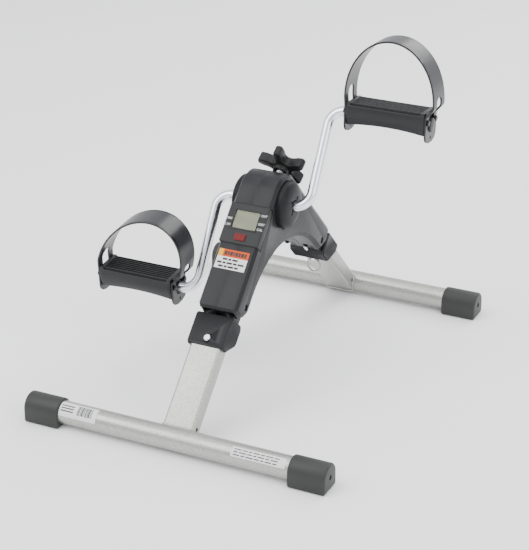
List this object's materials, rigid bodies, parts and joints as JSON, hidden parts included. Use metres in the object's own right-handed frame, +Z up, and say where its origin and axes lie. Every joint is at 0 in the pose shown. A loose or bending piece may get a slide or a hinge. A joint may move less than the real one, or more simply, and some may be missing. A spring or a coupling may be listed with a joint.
{
  "type": "pedal exerciser",
  "caption": "Folding pedal exerciser: two hinged T-shaped legs, plastic body with display, bent crank rod, strapped pedals and a tension knob.",
  "frame": {"origin": "on the floor under the middle of the body, at the centre of the bounding box's base", "axes": "+Z up, +Y from the display side to the rear leg, +X to the user's right when facing the display"},
  "size_m": [0.394, 0.5246, 0.4299],
  "materials": {
    "silver_paint": "satin metallic powder coat",
    "black_plastic": "fine textured moulding",
    "soft_black": "matte moulding",
    "cap_rubber": "matte moulded rubber",
    "bright_zinc": "bright zinc plate",
    "dark_steel": "plain steel",
    "strap_vinyl": "flexible vinyl, slight sheen",
    "lcd_grey": "grey-green display",
    "clear_pane": "clear",
    "button_red": "satin",
    "board_green": "solder mask",
    "brass": "plain",
    "acetal": "natural",
    "felt": "pressed felt"
  },
  "bodies": {
    "frame": {"housing_left": "black_plastic", "housing_right": "black_plastic", "housing_screw_1": "dark_steel", "housing_screw_2": "dark_steel", "housing_screw_3": "dark_steel", "housing_screw_4": "dark_steel", "front_hinge_pin": "dark_steel", "rear_hinge_pin": "dark_steel", "bearing_cover_left": "black_plastic", "bearing_cover_right": "black_plastic", "crank_bush_left": "acetal", "crank_bush_right": "acetal", "display_case": "black_plastic", "lcd_window": "clear_pane", "lcd_panel": "lcd_grey", "display_board": "board_green", "button_cell": "bright_zinc", "reed_sensor": "soft_black", "sensor_lead": "soft_black"},
    "crank": {"crank_rod": "bright_zinc", "brake_drum": "dark_steel", "magnet_wheel": "acetal", "sensor_magnet": "dark_steel", "pedal_retainer_left": "black_plastic", "pedal_retainer_right": "black_plastic"},
    "pedal_left": {"pedal_body_left": "black_plastic", "pedal_strap_left": "strap_vinyl"},
    "pedal_right": {"pedal_body_right": "black_plastic", "pedal_strap_right": "strap_vinyl"},
    "knob": {"tension_knob": "soft_black", "tension_bolt": "bright_zinc", "bolt_retainer": "dark_steel"},
    "brake": {"brake_shoe": "dark_steel", "brake_lining": "felt", "tension_nut": "brass"},
    "button": {"reset_button": "button_red"},
    "front_leg": {"front_foot_tube": "silver_paint", "front_foot_cap_left": "cap_rubber", "front_foot_cap_right": "cap_rubber", "front_leg_tube": "silver_paint", "front_hinge_collar": "black_plastic", "front_collar_screw": "bright_zinc", "front_lock_spring": "dark_steel"},
    "front_latch": {"front_lock_pin": "bright_zinc"},
    "front_ring": {"front_pull_ring": "bright_zinc"},
    "rear_leg": {"rear_foot_tube": "silver_paint", "rear_foot_cap_left": "cap_rubber", "rear_foot_cap_right": "cap_rubber", "rear_leg_tube": "silver_paint", "rear_hinge_collar": "black_plastic", "rear_collar_screw": "bright_zinc", "rear_lock_spring": "dark_steel"},
    "rear_latch": {"rear_lock_pin": "bright_zinc"},
    "rear_ring": {"rear_pull_ring": "bright_zinc"}
  },
  "joints": [
    {"name": "front_leg_fold", "type": "hinge", "parent": "frame", "child": "front_leg", "pos_m": [0, -0.11052, 0.13202], "axis": [1, 0, 0], "range_deg": [0, 75]},
    {"name": "front_lock_pin_pull", "type": "slide", "parent": "front_leg", "child": "front_latch", "axis": [0, -0.7071, -0.7071], "range_m": [0, 0.009], "stiffness_N_per_m": 300, "springref_m": -0.003, "deforming": ["front_lock_spring"]},
    {"name": "front_ring_swing", "type": "hinge", "parent": "front_latch", "child": "front_ring", "pos_m": [0, -0.1446, 0.08804], "axis": [1, 0, 0], "range_deg": [-35, 60]},
    {"name": "rear_leg_fold", "type": "hinge", "parent": "frame", "child": "rear_leg", "pos_m": [0, 0.11052, 0.13202], "axis": [-1, 0, 0], "range_deg": [0, 75]},
    {"name": "rear_lock_pin_pull", "type": "slide", "parent": "rear_leg", "child": "rear_latch", "axis": [0, 0.7071, -0.7071], "range_m": [0, 0.009], "stiffness_N_per_m": 300, "springref_m": -0.003, "deforming": ["rear_lock_spring"]},
    {"name": "rear_ring_swing", "type": "hinge", "parent": "rear_latch", "child": "rear_ring", "pos_m": [0, 0.1446, 0.08804], "axis": [-1, 0, 0], "range_deg": [-35, 60]},
    {"name": "crank_spin", "type": "hinge", "parent": "frame", "child": "crank", "pos_m": [0, 0, 0.22373], "axis": [1, 0, 0], "continuous": true},
    {"name": "pedal_left_spin", "type": "hinge", "parent": "crank", "child": "pedal_left", "pos_m": [-0.1416, -0.06438, 0.11658], "axis": [1, 0, 0], "continuous": true},
    {"name": "pedal_right_spin", "type": "hinge", "parent": "crank", "child": "pedal_right", "pos_m": [0.133, 0.06438, 0.33087], "axis": [1, 0, 0], "continuous": true},
    {"name": "knob_turn", "type": "hinge", "parent": "frame", "child": "knob", "pos_m": [0, 0, 0.22373], "axis": [0, 0.8434, 0.5373], "range_deg": [0, 720]},
    {"name": "brake_press", "type": "slide", "parent": "frame", "child": "brake", "axis": [0, -0.8434, -0.5373], "range_m": [0, 0.0025]},
    {"name": "reset_button_press", "type": "slide", "parent": "frame", "child": "button", "axis": [0, 0.7071, -0.7071], "range_m": [0, 0.0012], "stiffness_N_per_m": 800, "springref_m": -0.0005}
  ],
  "couplings": [
    {"joint": "front_lock_pin_pull", "follows": "front_leg_fold", "m_per_rad": 0.00687},
    {"joint": "rear_lock_pin_pull", "follows": "rear_leg_fold", "m_per_rad": 0.00687},
    {"joint": "brake_press", "follows": "knob_turn", "m_per_rad": 0.0001989}
  ]
}
